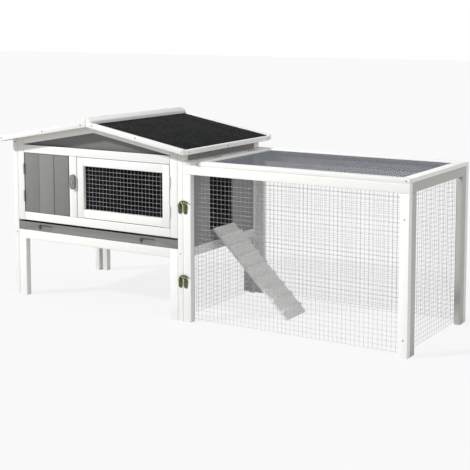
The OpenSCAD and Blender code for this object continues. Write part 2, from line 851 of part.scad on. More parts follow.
module tray_pan() {
    x0 = tray_x0 + 2;
    x1 = tray_x1 - 2;
    y0 = tray_recess + tray_front_t + seat;
    y1 = back_y0 - 4;
    color(ZINC) in_row_frame() difference() {
        translate([x0, y0, tray_z0]) cube([x1 - x0, y1 - y0, pan_h]);
        translate([x0 + pan_t, y0 + pan_t, tray_z0 + pan_t])
            cube([x1 - x0 - 2 * pan_t, y1 - y0 - 2 * pan_t, pan_h]);
    }
}

module lid_leaves() { color(ZINC) in_row_frame() at_lid_hinges() hinge_half(false); }

// Local frame of the ramp: x is out of its upper face, y runs down its length and z is across it
module on_ramp() {
    translate([ramp_pin_x, ramp_y0, ramp_pin_z]) rotate([0, -ramp_angle, 0]) rotate([-90, 0, 0])
        children();
}

module ramp_board() {
    color(WHITE) in_row_frame() on_ramp()
        stick([hinge_gap / 2, pin_off, 0], [hinge_gap / 2 + ramp_t, pin_off + ramp_len, ramp_w], "y");
}

module ramp_cleats() {
    count = floor((ramp_len - cleat_pitch / 2) / cleat_pitch);
    face = hinge_gap / 2 + ramp_t + seat;
    color(WHITE) in_row_frame() on_ramp()
        for (i = [0 : count - 1])
            stick([face, pin_off + (i + 0.75) * cleat_pitch, 0],
                [face + cleat_h, pin_off + (i + 0.75) * cleat_pitch + cleat_w, ramp_w], "z");
}

module ramp_leaves() { color(ZINC) in_row_frame() at_ramp_hinges(ramp_angle) hinge_half(false); }

// Places of the latches on the front (back = false) or the back, for one height
module at_latch(z, back) {
    if (back) translate([latch_plate_x, hutch_d + seat, z]) mirror([0, 1, 0]) children();
    else translate([latch_plate_x, -seat, z]) children();
}

// Oval plate in x and z, standing off towards -y
module oval_plate() {
    straight = plate_h - plate_w;
    rotate([90, 0, 0]) linear_extrude(plate_t) union() {
        square([plate_w, straight], center = true);
        for (s = [-1, 1]) translate([0, s * straight / 2]) circle(d = plate_w);
    }
}

module round_post(x, z, r, y0, y1) {
    translate([x, y1, z]) rotate([90, 0, 0]) cylinder(r = r, h = y1 - y0);
}

lever_y1 = -plate_t - boss_t - seat / 2;
lever_y0 = lever_y1 - lever_t;

module latch_plate() {
    union() {
        oval_plate();
        round_post(0, pivot_up, boss_r, -plate_t - boss_t, -plate_t / 2);
        round_post(0, pivot_up, pivot_r, lever_y0 - seat / 2, -plate_t / 2);
        round_post(0, pivot_up, pivot_r + 1.5, lever_y0 - seat / 2 - 1, lever_y0 - seat / 2);
    }
}

module latch_keeper() {
    translate([latch_reach, 0, 0]) union() {
        oval_plate();
        round_post(0, pivot_up, peg_r, lever_y0 - 1, -plate_t / 2);
    }
}

module latch_plates() {
    color(BRASS) in_row_frame() for (z = latch_zs, back = [false, true]) at_latch(z, back) latch_plate();
}

module latch_keepers() {
    color(BRASS) in_row_frame() for (z = latch_zs, back = [false, true]) at_latch(z, back) latch_keeper();
}

// Tapered bar with round ends, from p1 with radius r1 to p2 with radius r2
function on_circle(p, r, angle) = [p.x + r * cos(angle), p.y + r * sin(angle)];

module round_bar(p1, r1, p2, r2) {
    along = atan2(p2.y - p1.y, p2.x - p1.x);
    spread = acos((r1 - r2) / norm(p2 - p1));
    in = 0.1;
    translate(p1) circle(r = r1);
    translate(p2) circle(r = r2);
    polygon([on_circle(p1, r1 - in, along - spread), on_circle(p2, r2 - in, along - spread),
        on_circle(p2, r2 - in, along + spread), on_circle(p1, r1 - in, along + spread)]);
}

// Lever seen from the front: a hub, an arch over the joint that ends in a thumb tab, and a claw
// that hangs from the arch by a link and grips the peg from above and from the right
module lever_outline() {
    arch_x = arch_r - boss_r - 1;
    mid_r = arch_r - arm_w / 2;
    arch_end = 72;
    link_at = 108;
    link_r = arm_w / 4;
    claw_w = arm_w * 2 / 3;
    claw_z = peg_r + seat;
    finger_x = latch_reach + peg_r + 1.2;
    difference() {
        union() {
            circle(r = boss_r + 1);
            intersection() {
                difference() {
                    translate([arch_x, 0]) circle(r = arch_r);
                    translate([arch_x, 0]) circle(r = arch_r - arm_w);
                }
                polygon([[arch_x, 0], [arch_x - 2 * arch_r, -0.5], [arch_x - 2 * arch_r, 2 * arch_r],
                    [arch_x + 2 * arch_r * cos(arch_end), 2 * arch_r * sin(arch_end)]]);
            }
            round_bar([arch_x + 0.26 * arch_r, arch_r - 0.8 * arm_w], 0.8 * arm_w,
                [arch_x + 0.82 * arch_r, 0.72 * arch_r], 0.45 * arm_w);
            round_bar([latch_reach - peg_r, claw_z + claw_w / 2], link_r,
                on_circle([arch_x, 0], mid_r, link_at), link_r);
            translate([latch_reach - peg_r - link_r, claw_z])
                square([finger_x + claw_w - latch_reach + peg_r + link_r, claw_w]);
            translate([finger_x, -peg_r]) square([claw_w, peg_r + claw_z + claw_w]);
        }
        circle(r = pivot_r + running);
    }
}

module latch_lever(z, back) {
    color(BRASS) in_row_frame() at_latch(z, back)
        translate([0, lever_y1, pivot_up]) rotate([90, 0, 0]) linear_extrude(lever_t) lever_outline();
}

module latch_lever_front_high() { latch_lever(latch_high, false); }
module latch_lever_front_low() { latch_lever(latch_low, false); }
module latch_lever_back_high() { latch_lever(latch_high, true); }
module latch_lever_back_low() { latch_lever(latch_low, true); }

left_side_frame();
left_side_boards();
right_side_frame();
right_side_boards();
right_side_lower_net();
front_upper_frame();
front_lower_frame();
back_frame();
back_boards();
gable_boards();
front_rafters();
back_rafters();
door_stops();
partition();
tray_bearers();
roof_left_frame();
roof_left_deck();
roof_left_felt();
ridge_board_left();
roof_right_frame();
roof_right_deck();
roof_right_felt();
ridge_board_right();
run_front_frame();
run_front_net();
run_back_frame();
run_back_net();
run_end_frame();
run_end_net();
lid_fixed_rail();
grey_door_fixed_leaves();
net_door_fixed_leaves();
lid_fixed_leaves();
ramp_fixed_leaves();
roof_fixed_leaves();
roof_leaves();
hinge_pins();
button_screw();
latch_plates();
latch_keepers();
grey_door_boards();
grey_door_battens();
grey_door_leaves();
net_door_frame();
net_door_net();
net_door_leaves();
turn_button();
tray_front();
tray_pan();
lid_frame();
lid_net();
lid_leaves();
ramp_board();
ramp_cleats();
ramp_leaves();
latch_lever_front_high();
latch_lever_front_low();
latch_lever_back_high();
latch_lever_back_low();
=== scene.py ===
"""Dresses the rabbit hutch and its run: painted timber, felt roof, welded nets, hinges, latches.

Lengths are metres. Only the camera's place and the screws' are millimetres from the hutch's lower
left front corner, as a joiner would take them; at() turns them into the frame's metres.
"""

import json
import math
import random

import bpy
from mathutils import Matrix, Vector


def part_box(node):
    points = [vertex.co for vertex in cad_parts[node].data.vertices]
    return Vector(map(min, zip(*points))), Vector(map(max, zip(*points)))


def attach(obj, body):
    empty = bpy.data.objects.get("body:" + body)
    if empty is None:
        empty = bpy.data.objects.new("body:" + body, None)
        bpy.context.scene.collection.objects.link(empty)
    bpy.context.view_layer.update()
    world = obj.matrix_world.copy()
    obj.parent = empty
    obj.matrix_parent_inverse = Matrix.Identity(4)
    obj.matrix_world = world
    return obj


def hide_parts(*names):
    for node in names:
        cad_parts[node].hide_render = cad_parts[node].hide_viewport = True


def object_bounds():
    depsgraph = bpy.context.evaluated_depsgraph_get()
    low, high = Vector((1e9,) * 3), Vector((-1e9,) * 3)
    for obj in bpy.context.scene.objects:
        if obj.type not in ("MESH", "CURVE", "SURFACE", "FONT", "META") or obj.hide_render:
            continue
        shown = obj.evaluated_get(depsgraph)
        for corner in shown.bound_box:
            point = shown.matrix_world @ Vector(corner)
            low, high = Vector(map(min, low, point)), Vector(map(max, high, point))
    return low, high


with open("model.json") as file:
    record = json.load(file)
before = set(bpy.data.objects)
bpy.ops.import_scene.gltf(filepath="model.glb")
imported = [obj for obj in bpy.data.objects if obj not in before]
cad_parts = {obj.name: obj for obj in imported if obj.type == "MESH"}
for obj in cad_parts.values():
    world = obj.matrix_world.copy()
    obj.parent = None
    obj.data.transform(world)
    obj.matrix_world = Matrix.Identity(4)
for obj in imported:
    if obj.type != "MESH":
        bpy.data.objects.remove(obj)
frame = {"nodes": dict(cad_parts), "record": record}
cad_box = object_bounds()
SEED = 20261
random.seed(SEED)

NODES = frame["nodes"]
BODY_OF = {node: body for body, nodes in frame["record"]["behaviour"]["bodies"].items()
           for node in nodes}
SLOT_OF = {part["node"]: part["material_slot"] for part in frame["record"]["subparts"]}
X, Y, Z = 0, 1, 2

# The hutch's lower left front corner. The roof reaches past it by these millimetres, to the left
# and to the front, and the frame's origin is in the middle of the hutch's depth.
MM = 0.001
EAVE_REACH, VERGE_REACH = 38, 52
CORNER = Vector(cad_box[0]) + Vector((EAVE_REACH, VERGE_REACH, 0)) * MM
HUTCH_DEPTH = -2 * CORNER.y / MM


def at(x, y, z):
    """Point of the frame, in metres, from millimetres off the hutch's corner."""
    return CORNER + Vector((x, y, z)) * MM


def link(thing):
    """Puts a new object into the scene."""
    bpy.context.scene.collection.objects.link(thing)
    return thing


def active():
    """The object that the last operator made or worked on."""
    return bpy.context.view_layer.objects.active


# Camera

CAMERA_PLACE = at(3699, -3866, 1310)
CAMERA_TURN = math.radians(30.60)
CAMERA_DROP = math.radians(6.20)
CAMERA_ROLL = math.radians(0.11)

# The lens in millimetres, and its shift in widths of the picture
SENSOR_WIDTH = 36.0
FOCAL_LENGTH = 84.68
SHIFT_ASIDE, SHIFT_UP = -0.0730, -0.2026
FAR_CLIP = 100.0


def place_camera():
    """Camera fitted to the photograph: a long lens to the right of the hutch, a little above it."""
    look = Vector((-math.sin(CAMERA_TURN) * math.cos(CAMERA_DROP),
                   math.cos(CAMERA_TURN) * math.cos(CAMERA_DROP), -math.sin(CAMERA_DROP)))
    right = Vector((math.cos(CAMERA_TURN), math.sin(CAMERA_TURN), 0.0))
    up = right.cross(look)
    cosine, sine = math.cos(CAMERA_ROLL), math.sin(CAMERA_ROLL)
    right, up = cosine * right + sine * up, cosine * up - sine * right
    lens = bpy.data.cameras.new("photo_camera")
    lens.sensor_width = SENSOR_WIDTH
    lens.lens = FOCAL_LENGTH
    lens.shift_x = SHIFT_ASIDE
    lens.shift_y = SHIFT_UP
    lens.clip_end = FAR_CLIP
    camera = link(bpy.data.objects.new("photo_camera", lens))
    turn = Matrix((right, up, -look)).transposed().to_4x4()
    camera.matrix_world = Matrix.Translation(CAMERA_PLACE) @ turn
    bpy.context.scene.camera = camera


place_camera()


# Materials

def colour(red, green, blue):
    """Opaque colour in linear light."""
    return (red, green, blue, 1.0)


def grey(level):
    """Opaque grey in linear light."""
    return colour(level, level, level)


class Signal:
    """What one socket of a node tree gives; arithmetic on a number adds Math nodes."""

    def __init__(self, tree, socket):
        self.tree = tree
        self.socket = socket

    def _math(self, operation, first, second):
        """Works on two numbers, signals or plain."""
        return self.tree.add("ShaderNodeMath", {"operation": operation}, {0: first, 1: second})

    def __add__(self, other):
        return self._math("ADD", self, other)

    def __radd__(self, other):
        return self._math("ADD", other, self)

    def __sub__(self, other):
        return self._math("SUBTRACT", self, other)

    def __rsub__(self, other):
        return self._math("SUBTRACT", other, self)

    def __mul__(self, other):
        return self._math("MULTIPLY", self, other)

    def __rmul__(self, other):
        return self._math("MULTIPLY", other, self)


class NodeTree:
    """Nodes of one material or of the world; every node comes from add()."""

    def __init__(self, owner):
        owner.use_nodes = True
        self.nodes = owner.node_tree.nodes
        self.links = owner.node_tree.links

    def add(self, kind, settings=None, sockets=None, output=0):
        """Adds a node, sets it, feeds its sockets and gives one of its outputs, if it has any."""
        node = self.nodes.new(kind)
        for key, value in (settings or {}).items():
            if key == "stops":
                self._set_stops(node.color_ramp, value)
            else:
                setattr(node, key, value)
        for key, value in (sockets or {}).items():
            self.feed(node.inputs[key], value)
        return Signal(self, node.outputs[output]) if node.outputs else None

    @staticmethod
    def _set_stops(ramp, stops):
        """Gives a ramp its stops; a new one starts half way between the two that are there."""
        while len(ramp.elements) < len(stops):
            ramp.elements.new(0.5)
        for element, (position, level) in zip(ramp.elements, stops):
            element.position = position
            element.color = grey(level)

    def feed(self, socket, value):
        """Links a signal to a socket, or writes a constant into it."""
        if isinstance(value, Signal):
            self.links.new(value.socket, socket)
        else:
            socket.default_value = value


class Finish(NodeTree):
    """One material of the object, built round its surface shader."""

    # Sockets of a Mix node that mixes colours
    MIX_FACTOR, MIX_FIRST, MIX_SECOND, MIXED_COLOUR = 0, 6, 7, 2

    def __init__(self, name, **constants):
        self.material = bpy.data.materials.new(name)
        super().__init__(self.material)
        self.surface = self.nodes["Principled BSDF"]
        for socket, value in constants.items():
            self.surface.inputs[socket.replace("_", " ")].default_value = value

    def into(self, socket, value):
        """Feeds one socket of the surface shader."""
        self.feed(self.surface.inputs[socket], value)

    def mix(self, factor, first, second):
        """Colour between two colours."""
        return self.add("ShaderNodeMix", {"data_type": "RGBA"},
                        {self.MIX_FACTOR: factor, self.MIX_FIRST: first, self.MIX_SECOND: second},
                        output=self.MIXED_COLOUR)

    def noise(self, place, scale, detail=3.0, roughness=0.55):
        """Cloudy noise; its features are about one over scale across."""
        return self.add("ShaderNodeTexNoise", output="Fac",
                        sockets={"Vector": place, "Scale": scale, "Detail": detail,
                                 "Roughness": roughness})

    def streaks(self, grain, along, across, detail=3.0, roughness=0.6):
        """Noise drawn out along the grain: its scale along the fibres, and across them."""
        drawn = self.add("ShaderNodeMapping", output="Vector",
                         sockets={"Vector": grain, "Scale": (along, across, across)})
        return self.noise(drawn, 1.0, detail, roughness)

    def ramp(self, signal, *stops):
        """Grey between stops, each a position and a level."""
        return self.add("ShaderNodeValToRGB", {"stops": stops}, {"Fac": signal}, output="Color")

    def bump(self, height, strength, distance):
        """Raises and sinks the surface by a height signal; distance is in metres."""
        normal = self.add("ShaderNodeBump", output="Normal",
                          sockets={"Height": height, "Strength": strength, "Distance": distance})
        self.into("Normal", normal)

    def place(self):
        """Where a point of the piece lies, in metres."""
        return self.add("ShaderNodeTexCoord", output="Object")

    def attribute(self, name, output):
        """What lay_grain() wrote at each point of a stick."""
        return self.add("ShaderNodeAttribute", {"attribute_name": name}, output=output)


def painted_timber(name, light, dark, roughness):
    """Sprayed satin paint on planed softwood: its fibres stand through, each stick has its tone."""
    finish = Finish(name, Specular_IOR_Level=0.22)
    grain = finish.attribute("grain", "Vector")
    tone = finish.attribute("tone", "Fac")
    fibre = finish.streaks(grain, along=14.0, across=620.0, detail=4.0)
    figure = finish.streaks(grain, along=2.2, across=46.0)
    cloud = finish.noise(grain, scale=7.0, detail=2.0)
    fine_fibre = finish.streaks(grain, along=30.0, across=900.0, detail=2.0, roughness=0.55)
    pores = finish.ramp(fine_fibre, (0.60, 0.0), (0.72, 1.0))
    shade = (fibre * 0.30 + figure * 0.45 + cloud * 0.25) - 0.5
    darkness = tone * 0.55 + shade * 0.9 + 0.28 + pores * 0.10
    finish.into("Base Color", finish.mix(darkness, light, dark))
    finish.into("Roughness", roughness + fibre * 0.10 + cloud * 0.08)
    finish.bump(fibre * 0.7 + figure * 0.8 - pores * 0.35, strength=0.35, distance=0.0005)
    return finish.material


def bare_timber(name):
    """Unpainted softwood with its growth rings."""
    finish = Finish(name)
    grain = finish.attribute("grain", "Vector")
    tone = finish.attribute("tone", "Fac")
    rings = finish.streaks(grain, along=1.5, across=60.0, roughness=0.65)
    fibre = finish.streaks(grain, along=18.0, across=700.0)
    late_wood = finish.ramp(rings, (0.42, 0.0), (0.62, 1.0))
    finish.into("Base Color", finish.mix(late_wood * 0.55 + fibre * 0.25 + tone * 0.2,
                                         colour(0.62, 0.52, 0.38), colour(0.42, 0.32, 0.21)))
    finish.into("Roughness", 0.62 + fibre * 0.15)
    finish.bump(fibre * 0.6 + late_wood * 0.5, strength=0.4, distance=0.0004)
    return finish.material


def mineral_felt(name):
    """Bitumen felt under crushed slate: dark granules, a few pale ones, and a soft unevenness."""
    finish = Finish(name, Specular_IOR_Level=0.02)
    place = finish.place()
    granule = finish.add("ShaderNodeTexVoronoi", output="Color",
                         sockets={"Vector": place, "Scale": 290.0})
    paleness = finish.ramp(granule, (0.30, 0.0), (0.78, 0.40), (0.94, 1.0))
    grit = finish.noise(place, scale=900.0, detail=2.0)
    patch = finish.noise(place, scale=14.0, detail=4.0)
    finish.into("Base Color", finish.mix(paleness * 0.75 + patch * 0.35 - 0.1,
                                         colour(0.004, 0.005, 0.005), grey(0.078)))
    finish.into("Roughness", 0.84 + patch * 0.12)
    finish.bump(grit * 0.8 + paleness * 0.5 + patch * 0.6, strength=0.55, distance=0.0012)
    return finish.material


def plated_steel(name, light, dark, roughness, spangle, metal):
    """Zinc or paint on steel, with the faint patches that coating leaves; spangle is their scale."""
    finish = Finish(name, Metallic=metal)
    place = finish.place()
    patch = finish.noise(place, scale=spangle)
    fine = finish.noise(place, scale=1400.0, detail=2.0)
    finish.into("Base Color", finish.mix(patch * 1.5 - 0.25, light, dark))
    finish.into("Roughness", roughness + patch * 0.14 + fine * 0.05)
    finish.bump(fine, strength=0.12, distance=0.0002)
    return finish.material


WHITE_LIGHT, WHITE_DARK = colour(0.90, 0.90, 0.885), colour(0.79, 0.79, 0.765)
FINISHES = {
    "white_paint": painted_timber(
        "white_painted_softwood", WHITE_LIGHT, WHITE_DARK, roughness=0.50),
    "grey_paint": painted_timber(
        "grey_painted_softwood", colour(0.248, 0.248, 0.242), colour(0.192, 0.192, 0.186),
        roughness=0.52),
    "bare_softwood": bare_timber("bare_softwood"),
    "roof_felt": mineral_felt("mineral_felt"),
    "galvanised_wire": plated_steel(
        "galvanised_wire", colour(0.46, 0.47, 0.49), colour(0.30, 0.31, 0.33),
        roughness=0.42, spangle=60.0, metal=0.6),
    "zinc_steel": plated_steel(
        "dull_zinc", colour(0.40, 0.41, 0.42), colour(0.27, 0.28, 0.29),
        roughness=0.50, spangle=90.0, metal=0.7),
    "white_metal": plated_steel(
        "overpainted_hinge", WHITE_LIGHT, WHITE_DARK, roughness=0.42, spangle=80.0, metal=0.0),
    "yellow_zinc": plated_steel(
        "yellow_zinc", colour(0.158, 0.166, 0.066), colour(0.052, 0.060, 0.016),
        roughness=0.50, spangle=120.0, metal=0.6),
}
SCREW_STEEL = plated_steel("screw_steel", grey(0.15), grey(0.07),
                           roughness=0.45, spangle=300.0, metal=0.6)
# Darker, bluish copy of the galvanised wire for the lid: painted shade of the dark ground seen
# through the net, and a painted reflection of the sky
LID_WIRE_PAINTED_SHADE = plated_steel(
    "lid_wire_painted_shade", colour(0.172, 0.183, 0.214), colour(0.098, 0.105, 0.127),
    roughness=0.55, spangle=60.0, metal=0.4)
# Greyer copy of the white paint for the run's end frame: painted shade on its side away from the sun
WHITE_WITH_PAINTED_SHADE = painted_timber("white_softwood_painted_shade", colour(0.55, 0.55, 0.53),
                            colour(0.47, 0.47, 0.45), roughness=0.55)
# Darker copy of the grey paint: painted shade on the gable under the roof's overhang, and in the
# door gaps on the door stops
GREY_WITH_PAINTED_SHADE = painted_timber("grey_softwood_painted_shade", colour(0.214, 0.214, 0.210),
                            colour(0.158, 0.158, 0.154), roughness=0.55)
# Paler copy of the grey paint for the right wall: painted light, standing in for light bounced into
# the shade under the eave
GREY_WITH_PAINTED_LIGHT = painted_timber("grey_softwood_painted_light", colour(0.330, 0.330, 0.322),
                           colour(0.262, 0.262, 0.255), roughness=0.55)
# Near-black paint for the partition, the walls' inner faces and the front frame's reveals: painted
# shade of the dark rooms and of the door gaps
NEAR_BLACK_PAINTED_SHADE = painted_timber("softwood_painted_shade", colour(0.062, 0.058, 0.050),
                            colour(0.040, 0.037, 0.032), roughness=0.65)
# Darker copy of the zinc for the tray pan: painted shade, so that the pan throws little light into
# the dark room
ZINC_WITH_PAINTED_SHADE = plated_steel("zinc_painted_shade", colour(0.130, 0.128, 0.118), colour(0.080, 0.079, 0.072),
                         roughness=0.55, spangle=40.0, metal=0.5)


# Making pieces

# Points nearer than this are made one, and faces within these angles are made one or shade
# smoothly into each other
MERGE_DISTANCE = 0.00002
FLAT_WITHIN = math.radians(0.4)
SMOOTH_WITHIN = math.radians(30)
WIRE_SMOOTH_WITHIN = math.radians(70)

# Widths of the softened arrises, and how far a stick's grain is shifted so that no two are alike
TIMBER_ARRIS, METAL_ARRIS, FELT_ARRIS = 0.0007, 0.00025, 0.0008
GRAIN_SHIFT = 9


def only(thing):
    """Deselects everything but one object and makes it active."""
    if bpy.context.object and bpy.context.object.mode != "OBJECT":
        bpy.ops.object.mode_set(mode="OBJECT")
    bpy.ops.object.select_all(action="DESELECT")
    thing.select_set(True)
    bpy.context.view_layer.objects.active = thing


def settle(piece, name, finish):
    """Puts a piece's place into its mesh and gives it its name and material."""
    only(piece)
    bpy.ops.object.transform_apply(location=True, rotation=True, scale=True)
    piece.name = name
    piece.data.name = name
    piece.data.materials.clear()
    piece.data.materials.append(finish)
    return piece


def join(pieces, name):
    """Makes one object of several."""
    only(pieces[0])
    for piece in pieces:
        piece.select_set(True)
    if len(pieces) > 1:
        bpy.ops.object.join()
    joined = active()
    joined.name = name
    joined.data.name = name
    return joined


def apply_modifier(piece, kind, **settings):
    """Adds a modifier, sets it and applies it."""
    only(piece)
    bpy.ops.object.modifier_add(type=kind)
    modifier = piece.modifiers[-1]
    for key, value in settings.items():
        setattr(modifier, key, value)
    bpy.ops.object.modifier_apply(modifier=modifier.name)


def copy_of_node(node):
    """Merged copy of a CAD node, with its flat faces made whole again."""
    only(NODES[node])
    bpy.ops.object.duplicate()
    piece = active()
    bpy.ops.object.mode_set(mode="EDIT")
    bpy.ops.mesh.select_all(action="SELECT")
    bpy.ops.mesh.remove_doubles(threshold=MERGE_DISTANCE)
    bpy.ops.mesh.dissolve_limited(angle_limit=FLAT_WITHIN)
    bpy.ops.object.mode_set(mode="OBJECT")
    if piece.data.has_custom_normals:
        bpy.ops.mesh.customdata_custom_splitnormals_clear()
    return piece


def loose_parts(piece):
    """Splits a piece into its separate solids."""
    only(piece)
    bpy.ops.object.mode_set(mode="EDIT")
    bpy.ops.mesh.select_all(action="SELECT")
    bpy.ops.mesh.separate(type="LOOSE")
    bpy.ops.object.mode_set(mode="OBJECT")
    return list(bpy.context.selected_objects)


def edge_vector(mesh, edge):
    """From an edge's second point to its first."""
    first, second = edge.vertices
    return mesh.vertices[first].co - mesh.vertices[second].co


def lay_grain(stick):
    """Writes where each point lies along and across the stick's fibres, and the stick's own tone."""
    mesh = stick.data
    along = max((edge_vector(mesh, edge) for edge in mesh.edges),
                key=lambda vector: vector.length).normalized()
    side = along.orthogonal().normalized()
    other = along.cross(side)
    shift = Vector([random.uniform(0, GRAIN_SHIFT) for _ in range(3)])
    tone = random.random()
    mesh.attributes.new("grain", "FLOAT_VECTOR", "POINT")
    mesh.attributes.new("tone", "FLOAT", "POINT")
    grain, tones = mesh.attributes["grain"], mesh.attributes["tone"]
    for index, vertex in enumerate(mesh.vertices):
        place = Vector((vertex.co.dot(along), vertex.co.dot(side), vertex.co.dot(other)))
        grain.data[index].vector = place + shift
        tones.data[index].value = tone


def smooth(piece, within):
    """Shades smoothly over edges flatter than an angle."""
    only(piece)
    bpy.ops.object.shade_smooth_by_angle(angle=within)


def soften(piece, width, segments=2, angle=24):
    """Rounds the arrises that are sharper than an angle, then smooths what is nearly flat."""
    apply_modifier(piece, "BEVEL", width=width, segments=segments, limit_method="ANGLE",
                   angle_limit=math.radians(angle), harden_normals=False)
    smooth(piece, SMOOTH_WITHIN)


def dress(node, piece, suffix="finish", finish=None):
    """Lets a piece stand for its CAD node."""
    settle(piece, f"{node}_{suffix}", finish or FINISHES[SLOT_OF[node]])
    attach(piece, BODY_OF[node])
    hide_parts(node)


# Which points belong to a seam of the solid door: how deep they lie and how far from its middle
DOOR_BOARDS = 3
SEAM_DEPTH, SEAM_GAP, SEAM_REACH = 0.0005, 0.001, 0.0045
FINE_BEVEL = 0.0008


def tighten_first_seam(door):
    """The solid door's first two boards meet close: the bevels between them are fine ones."""
    low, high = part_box("grey_door_boards")
    seam = low.x + (high.x - low.x) / DOOR_BOARDS
    for vertex in door.data.vertices:
        aside = vertex.co.x - seam
        if vertex.co.y < low.y + SEAM_DEPTH and SEAM_GAP < abs(aside) < SEAM_REACH:
            vertex.co.x = seam + math.copysign(FINE_BEVEL, aside)


def dress_timber(node, arris=TIMBER_ARRIS, finish=None):
    """Stands in for a wooden node: each stick with its own grain, and softened arrises."""
    piece = copy_of_node(node)
    if node == "grey_door_boards":
        tighten_first_seam(piece)
    sticks = loose_parts(piece)
    sticks.sort(key=lambda stick: tuple(round(c, 4) for c in stick.bound_box[0]))
    for stick in sticks:
        lay_grain(stick)
    piece = join(sticks, node)
    soften(piece, arris)
    dress(node, piece, finish=finish)


def dress_metal(node, finish=None):
    """Stands in for a metal node, with its burrs taken off."""
    piece = copy_of_node(node)
    soften(piece, METAL_ARRIS, angle=28)
    dress(node, piece, finish=finish)


def dress_felt(node):
    """Stands in for a sheet of roof felt."""
    piece = copy_of_node(node)
    soften(piece, FELT_ARRIS)
    dress(node, piece)


def paint_inner_shade(node, inner):
    """Gives a node's inner faces, told by their normals, near-black painted shade instead of paint.
    """
    mesh = bpy.data.objects[f"{node}_finish"].data
    mesh.materials.append(NEAR_BLACK_PAINTED_SHADE)
    for face in mesh.polygons:
        if inner(face.normal):
            face.material_index = 1


TIMBER_SLOTS = ("white_paint", "grey_paint", "bare_softwood")
METAL_SLOTS = ("zinc_steel", "white_metal", "yellow_zinc")
FELTS = ("roof_left_felt", "roof_right_felt")
SOFTER = {"turn_button": 0.0022, "tray_front": 0.0014, "ramp_cleats": 0.0016,
          "lid_fixed_rail": 0.002}
# Nodes whose paint or zinc is made darker or paler than their slot's finish: painted shade, and on
# the right wall painted light
PAINTED_LIGHT_FINISHES = {"run_end_frame": WHITE_WITH_PAINTED_SHADE, "gable_boards": GREY_WITH_PAINTED_SHADE, "door_stops": GREY_WITH_PAINTED_SHADE,
              "partition": NEAR_BLACK_PAINTED_SHADE, "tray_pan": ZINC_WITH_PAINTED_SHADE, "right_side_boards": GREY_WITH_PAINTED_LIGHT}

for node_name in sorted(NODES):
    if SLOT_OF[node_name] in TIMBER_SLOTS:
        dress_timber(node_name, SOFTER.get(node_name, TIMBER_ARRIS), PAINTED_LIGHT_FINISHES.get(node_name))
    elif SLOT_OF[node_name] in METAL_SLOTS:
        dress_metal(node_name, PAINTED_LIGHT_FINISHES.get(node_name))

# A face looks mostly along an axis where its normal's share is above the first, barely where it
# is under the second
MOSTLY, BARELY = 0.5, 0.4
# Painted shade: the walls' inner faces, and the reveals of the front frame's openings where the door
# gaps lie in shade, go near-black
paint_inner_shade("back_boards", lambda normal: normal.y < -MOSTLY)
paint_inner_shade("left_side_boards", lambda normal: normal.x > MOSTLY)
paint_inner_shade("right_side_boards", lambda normal: normal.x < -MOSTLY)
paint_inner_shade("front_upper_frame", lambda normal: abs(normal.y) < BARELY)

for node_name in FELTS:
    dress_felt(node_name)


# Nets

# The two layers lie this share of their wires' radius off the middle, so that they bite a little
WELD = 0.96
NET_MESH, LID_MESH = 0.020, 0.0192
RUN_WIRE_RADIUS, DOOR_WIRE_RADIUS, LID_WIRE_RADIUS = 0.00055, 0.0007, 0.0011


def straight_wire(start, end, radius):
    """One straight wire, six-sided."""
    run = end - start
    turn = run.to_track_quat("Z", "Y").to_euler()
    bpy.ops.object.select_all(action="DESELECT")
    bpy.ops.mesh.primitive_cylinder_add(vertices=6, radius=radius, depth=run.length,
                                        location=(start + end) / 2, rotation=turn)
    wire = active()
    bpy.ops.object.transform_apply(location=True, rotation=True, scale=True)
    return wire


def row_of_wires(start, end, step, count, radius):
    """One layer of a net: equal wires side by side."""
    wire = straight_wire(start, end, radius)
    apply_modifier(wire, "ARRAY", count=count, use_relative_offset=False,
                   use_constant_offset=True, constant_offset_displace=step)
    return wire


def welded_net(node, long_axis, short_axis, mesh, radius, finish=None):
    """Two layers of wires, welded where they cross, in the place of a node's flat net."""
    low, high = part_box(node)
    thin_axis = X + Y + Z - long_axis - short_axis
    middle = (low[thin_axis] + high[thin_axis]) / 2
    layers = []
    for axis, cross, side in ((long_axis, short_axis, 1), (short_axis, long_axis, -1)):
        start, end = low.copy(), high.copy()
        start[thin_axis] = end[thin_axis] = middle + side * radius * WELD
        count = round((high[cross] - low[cross]) / mesh) + 1
        pitch = (high[cross] - low[cross] - 2 * radius) / (count - 1)
        start[cross] = end[cross] = low[cross] + radius
        step = [0.0, 0.0, 0.0]
        step[cross] = pitch
        layers.append(row_of_wires(start, end, step, count, radius))
    net = join(layers, node)
    smooth(net, WIRE_SMOOTH_WITHIN)
    dress(node, net, "wires", finish)


for node_name, long_axis, short_axis in (
        ("run_front_net", X, Z), ("run_back_net", X, Z), ("run_end_net", Y, Z),
        ("right_side_lower_net", Y, Z)):
    welded_net(node_name, long_axis, short_axis, NET_MESH, RUN_WIRE_RADIUS)
welded_net("net_door_net", X, Z, NET_MESH, DOOR_WIRE_RADIUS)
# The lid's wires carry painted shade and a painted sky reflection
welded_net("lid_net", X, Y, LID_MESH, LID_WIRE_RADIUS, LID_WIRE_PAINTED_SHADE)


# Screws

# A screw's head and the cross in it, and how far its middle is sunk under the face
HEAD_RADIUS, HEAD_THICKNESS, HEAD_ARRIS = 0.0036, 0.0012, 0.00015
CROSS_LENGTH, CROSS_WIDTH = 0.0044, 0.0011
SUNK = 0.0004


